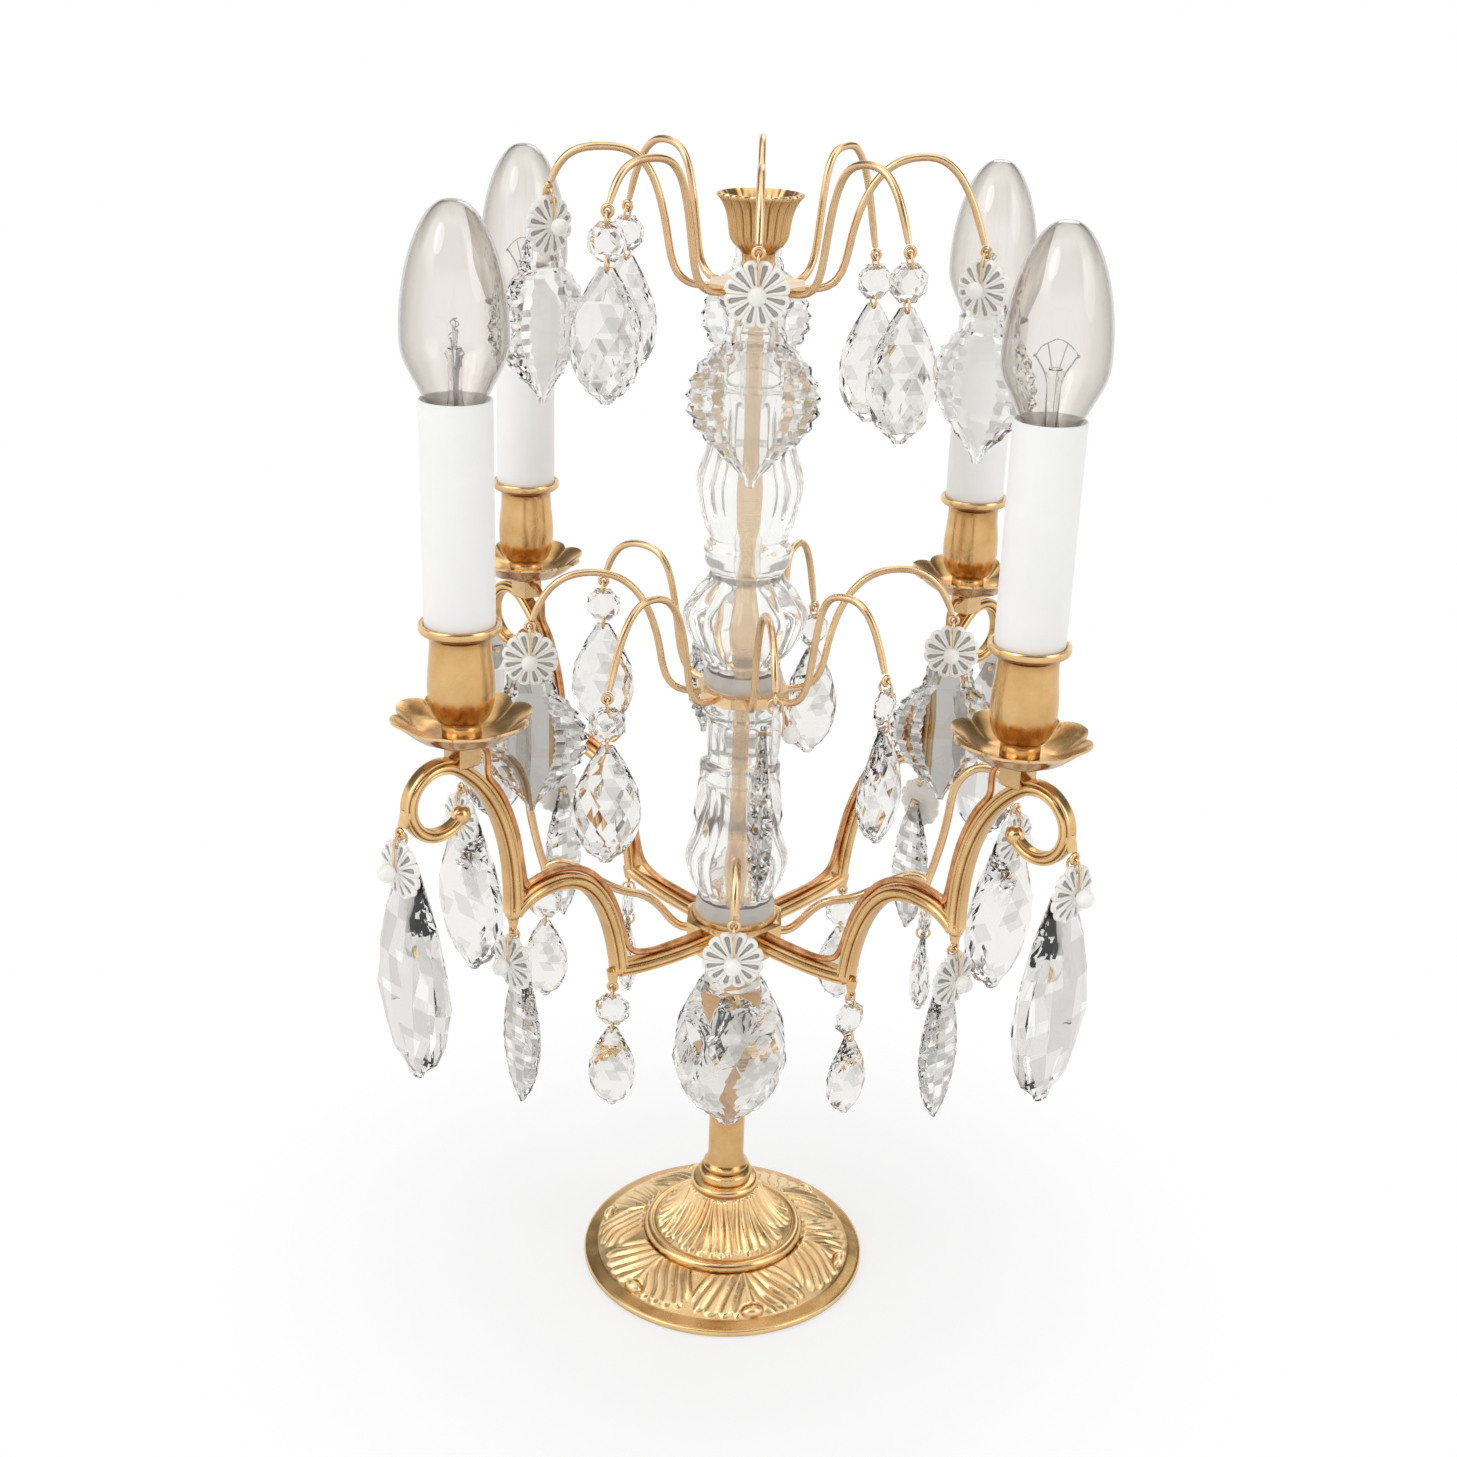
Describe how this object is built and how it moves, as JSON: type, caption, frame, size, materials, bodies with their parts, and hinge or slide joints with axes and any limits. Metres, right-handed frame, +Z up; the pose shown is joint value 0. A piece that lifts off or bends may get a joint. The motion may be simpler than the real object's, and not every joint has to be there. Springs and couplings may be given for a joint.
{
  "type": "girandole",
  "caption": "Table girandole: gilt foot and stem, cut-glass column with wire crowns, scrolled electric candle arms, and free-hanging cut-glass rosettes, beads and drops.",
  "frame": {"origin": "centre of the foot's underside, on the surface that the piece stands on", "axes": "+Z up the column, -Y towards the viewer of the picture, candle arms on the diagonals"},
  "size_m": [0.25, 0.25, 0.4624],
  "materials": {
    "gilt_brass": "cast, gilt, worn satin",
    "antique_brass": "drawn, browned",
    "crystal": "cut and polished",
    "copper_flex": "clear sleeve over copper strand",
    "white_sleeve": "matte white",
    "ivory_insulator": "moulded",
    "lamp_glass": "clear blown",
    "steel": "plain"
  },
  "bodies": {
    "root": {"foot": "gilt_brass", "foot_washer": "steel", "foot_nut": "steel", "stem": "gilt_brass", "hub": "gilt_brass", "tie_rod": "antique_brass", "lower_baluster": "crystal", "upper_baluster": "crystal", "mid_crown_plate": "antique_brass", "mid_crown_wires": "antique_brass", "top_crown_plate": "antique_brass", "top_crown_wires": "antique_brass", "top_cup": "gilt_brass", "candle_arms": "gilt_brass", "arm_flexes": "copper_flex", "spray_arms": "antique_brass", "drip_pans": "gilt_brass", "candle_cups": "gilt_brass", "candle_sleeves": "white_sleeve", "lampholders": "ivory_insulator"},
    "lamp_ne": {"lamp_ne": "lamp_glass"},
    "lamp_nw": {"lamp_nw": "lamp_glass"},
    "lamp_sw": {"lamp_sw": "lamp_glass"},
    "lamp_se": {"lamp_se": "lamp_glass"},
    "top_drop_e": {"top_drop_e": "crystal"},
    "top_drop_ne": {"top_drop_ne": "crystal"},
    "top_drop_n": {"top_drop_n": "crystal"},
    "top_drop_nw": {"top_drop_nw": "crystal"},
    "top_drop_w": {"top_drop_w": "crystal"},
    "top_drop_sw": {"top_drop_sw": "crystal"},
    "top_drop_s": {"top_drop_s": "crystal"},
    "top_drop_se": {"top_drop_se": "crystal"},
    "mid_drop_e": {"mid_drop_e": "crystal"},
    "mid_drop_ne": {"mid_drop_ne": "crystal"},
    "mid_drop_n": {"mid_drop_n": "crystal"},
    "mid_drop_nw": {"mid_drop_nw": "crystal"},
    "mid_drop_w": {"mid_drop_w": "crystal"},
    "mid_drop_sw": {"mid_drop_sw": "crystal"},
    "mid_drop_s": {"mid_drop_s": "crystal"},
    "mid_drop_se": {"mid_drop_se": "crystal"},
    "lug_drop_ne": {"lug_drop_ne": "crystal"},
    "lug_drop_nw": {"lug_drop_nw": "crystal"},
    "lug_drop_sw": {"lug_drop_sw": "crystal"},
    "lug_drop_se": {"lug_drop_se": "crystal"},
    "cusp_drop_ne": {"cusp_drop_ne": "crystal"},
    "cusp_drop_nw": {"cusp_drop_nw": "crystal"},
    "cusp_drop_sw": {"cusp_drop_sw": "crystal"},
    "cusp_drop_se": {"cusp_drop_se": "crystal"},
    "scroll_drop_ne": {"scroll_drop_ne": "crystal"},
    "scroll_drop_nw": {"scroll_drop_nw": "crystal"},
    "scroll_drop_sw": {"scroll_drop_sw": "crystal"},
    "scroll_drop_se": {"scroll_drop_se": "crystal"},
    "spray_cusp_drop_e": {"spray_cusp_drop_e": "crystal"},
    "spray_cusp_drop_n": {"spray_cusp_drop_n": "crystal"},
    "spray_cusp_drop_w": {"spray_cusp_drop_w": "crystal"},
    "spray_cusp_drop_s": {"spray_cusp_drop_s": "crystal"},
    "spray_end_drop_e": {"spray_end_drop_e": "crystal"},
    "spray_end_drop_n": {"spray_end_drop_n": "crystal"},
    "spray_end_drop_w": {"spray_end_drop_w": "crystal"},
    "spray_end_drop_s": {"spray_end_drop_s": "crystal"}
  },
  "joints": [
    {"name": "lamp_ne_unscrew", "type": "slide", "parent": "root", "child": "lamp_ne", "axis": [0, 0, 1], "range_m": [0, 0.04]},
    {"name": "lamp_nw_unscrew", "type": "slide", "parent": "root", "child": "lamp_nw", "axis": [0, 0, 1], "range_m": [0, 0.04]},
    {"name": "lamp_sw_unscrew", "type": "slide", "parent": "root", "child": "lamp_sw", "axis": [0, 0, 1], "range_m": [0, 0.04]},
    {"name": "lamp_se_unscrew", "type": "slide", "parent": "root", "child": "lamp_se", "axis": [0, 0, 1], "range_m": [0, 0.04]},
    {"name": "top_drop_e_swing", "type": "hinge", "parent": "root", "child": "top_drop_e", "pos_m": [0.081, 0, 0.429], "axis": [-0.6428, -0.766, 0], "range_deg": [-15, 15]},
    {"name": "top_drop_ne_swing", "type": "hinge", "parent": "root", "child": "top_drop_ne", "pos_m": [0.04483, 0.04979, 0.42], "axis": [0.342, -0.9397, 0], "range_deg": [-15, 15]},
    {"name": "top_drop_n_swing", "type": "hinge", "parent": "root", "child": "top_drop_n", "pos_m": [0, 0.079, 0.437], "axis": [0, -1, 0], "range_deg": [-15, 15]},
    {"name": "top_drop_nw_swing", "type": "hinge", "parent": "root", "child": "top_drop_nw", "pos_m": [-0.0502, 0.0502, 0.435], "axis": [-0.342, -0.9397, 0], "range_deg": [-15, 15]},
    {"name": "top_drop_w_swing", "type": "hinge", "parent": "root", "child": "top_drop_w", "pos_m": [-0.075, 0, 0.446], "axis": [0.7431, -0.6691, 0], "range_deg": [-15, 15]},
    {"name": "top_drop_sw_swing", "type": "hinge", "parent": "root", "child": "top_drop_sw", "pos_m": [-0.0502, -0.0502, 0.445], "axis": [-0.1392, -0.9903, 0], "range_deg": [-15, 15]},
    {"name": "top_drop_s_swing", "type": "hinge", "parent": "root", "child": "top_drop_s", "pos_m": [0, -0.079, 0.437], "axis": [0, -1, 0], "range_deg": [-15, 15]},
    {"name": "top_drop_se_swing", "type": "hinge", "parent": "root", "child": "top_drop_se", "pos_m": [0.0502, -0.0502, 0.435], "axis": [0.2588, -0.9659, 0], "range_deg": [-15, 15]},
    {"name": "mid_drop_e_swing", "type": "hinge", "parent": "root", "child": "mid_drop_e", "pos_m": [0.08099, 0.01283, 0.287], "axis": [-0.0872, -0.9962, 0], "range_deg": [-15, 15]},
    {"name": "mid_drop_ne_swing", "type": "hinge", "parent": "root", "child": "mid_drop_ne", "pos_m": [0.02815, 0.05524, 0.277], "axis": [0.5, -0.866, 0], "range_deg": [-15, 15]},
    {"name": "mid_drop_n_swing", "type": "hinge", "parent": "root", "child": "mid_drop_n", "pos_m": [-0.01283, 0.08099, 0.287], "axis": [0.9848, -0.1736, 0], "range_deg": [-15, 15]},
    {"name": "mid_drop_nw_swing", "type": "hinge", "parent": "root", "child": "mid_drop_nw", "pos_m": [-0.05744, 0.04173, 0.289], "axis": [-0.0872, -0.9962, 0], "range_deg": [-15, 15]},
    {"name": "mid_drop_w_swing", "type": "hinge", "parent": "root", "child": "mid_drop_w", "pos_m": [-0.08099, -0.01283, 0.287], "axis": [0.0872, -0.9962, 0], "range_deg": [-15, 15]},
    {"name": "mid_drop_sw_swing", "type": "hinge", "parent": "root", "child": "mid_drop_sw", "pos_m": [-0.04821, -0.05745, 0.276], "axis": [0.1736, -0.9848, 0], "range_deg": [-15, 15]},
    {"name": "mid_drop_s_swing", "type": "hinge", "parent": "root", "child": "mid_drop_s", "pos_m": [0.01141, -0.0812, 0.287], "axis": [1, 0, 0], "range_deg": [-15, 15]},
    {"name": "mid_drop_se_swing", "type": "hinge", "parent": "root", "child": "mid_drop_se", "pos_m": [0.05207, -0.04216, 0.281], "axis": [0.8192, -0.5736, 0], "range_deg": [-15, 15]},
    {"name": "lug_drop_ne_swing", "type": "hinge", "parent": "root", "child": "lug_drop_ne", "pos_m": [0.04596, 0.04596, 0.153], "axis": [0, 1, 0], "range_deg": [-15, 15]},
    {"name": "lug_drop_nw_swing", "type": "hinge", "parent": "root", "child": "lug_drop_nw", "pos_m": [-0.04596, 0.04596, 0.153], "axis": [-1, 0, 0], "range_deg": [-15, 15]},
    {"name": "lug_drop_sw_swing", "type": "hinge", "parent": "root", "child": "lug_drop_sw", "pos_m": [-0.04596, -0.04596, 0.153], "axis": [-0.0872, -0.9962, 0], "range_deg": [-15, 15]},
    {"name": "lug_drop_se_swing", "type": "hinge", "parent": "root", "child": "lug_drop_se", "pos_m": [0.04596, -0.04596, 0.153], "axis": [0.6428, -0.766, 0], "range_deg": [-15, 15]},
    {"name": "cusp_drop_ne_swing", "type": "hinge", "parent": "root", "child": "cusp_drop_ne", "pos_m": [0.0799, 0.0799, 0.1934], "axis": [0.7071, 0.7071, 0], "range_deg": [-15, 15]},
    {"name": "cusp_drop_nw_swing", "type": "hinge", "parent": "root", "child": "cusp_drop_nw", "pos_m": [-0.0799, 0.0799, 0.1934], "axis": [-0.7071, 0.7071, 0], "range_deg": [-15, 15]},
    {"name": "cusp_drop_sw_swing", "type": "hinge", "parent": "root", "child": "cusp_drop_sw", "pos_m": [-0.0799, -0.0799, 0.1934], "axis": [-0.7071, -0.7071, 0], "range_deg": [-15, 15]},
    {"name": "cusp_drop_se_swing", "type": "hinge", "parent": "root", "child": "cusp_drop_se", "pos_m": [0.0799, -0.0799, 0.1934], "axis": [0.7071, -0.7071, 0], "range_deg": [-15, 15]},
    {"name": "scroll_drop_ne_swing", "type": "hinge", "parent": "root", "child": "scroll_drop_ne", "pos_m": [0.11349, 0.11349, 0.246], "axis": [0.7071, 0.7071, 0], "range_deg": [-15, 15]},
    {"name": "scroll_drop_nw_swing", "type": "hinge", "parent": "root", "child": "scroll_drop_nw", "pos_m": [-0.11349, 0.11349, 0.246], "axis": [-0.7071, 0.7071, 0], "range_deg": [-15, 15]},
    {"name": "scroll_drop_sw_swing", "type": "hinge", "parent": "root", "child": "scroll_drop_sw", "pos_m": [-0.11349, -0.11349, 0.246], "axis": [-0.7071, -0.7071, 0], "range_deg": [-15, 15]},
    {"name": "scroll_drop_se_swing", "type": "hinge", "parent": "root", "child": "scroll_drop_se", "pos_m": [0.11349, -0.11349, 0.246], "axis": [0.7071, -0.7071, 0], "range_deg": [-15, 15]},
    {"name": "spray_cusp_drop_e_swing", "type": "hinge", "parent": "root", "child": "spray_cusp_drop_e", "pos_m": [0.077, 0, 0.1748], "axis": [1, 0, 0], "range_deg": [-15, 15]},
    {"name": "spray_cusp_drop_n_swing", "type": "hinge", "parent": "root", "child": "spray_cusp_drop_n", "pos_m": [0, 0.077, 0.1748], "axis": [-0.5, 0.866, 0], "range_deg": [-15, 15]},
    {"name": "spray_cusp_drop_w_swing", "type": "hinge", "parent": "root", "child": "spray_cusp_drop_w", "pos_m": [-0.077, 0, 0.1748], "axis": [0, -1, 0], "range_deg": [-15, 15]},
    {"name": "spray_cusp_drop_s_swing", "type": "hinge", "parent": "root", "child": "spray_cusp_drop_s", "pos_m": [0, -0.077, 0.1748], "axis": [0.5, -0.866, 0], "range_deg": [-15, 15]},
    {"name": "spray_end_drop_e_swing", "type": "hinge", "parent": "root", "child": "spray_end_drop_e", "pos_m": [0.11, 0, 0.214], "axis": [0.7071, -0.7071, 0], "range_deg": [-15, 15]},
    {"name": "spray_end_drop_n_swing", "type": "hinge", "parent": "root", "child": "spray_end_drop_n", "pos_m": [0, 0.11, 0.214], "axis": [0, 1, 0], "range_deg": [-15, 15]},
    {"name": "spray_end_drop_w_swing", "type": "hinge", "parent": "root", "child": "spray_end_drop_w", "pos_m": [-0.11, 0, 0.214], "axis": [-0.7071, -0.7071, 0], "range_deg": [-15, 15]},
    {"name": "spray_end_drop_s_swing", "type": "hinge", "parent": "root", "child": "spray_end_drop_s", "pos_m": [0, -0.11, 0.214], "axis": [0, -1, 0], "range_deg": [-15, 15]}
  ]
}
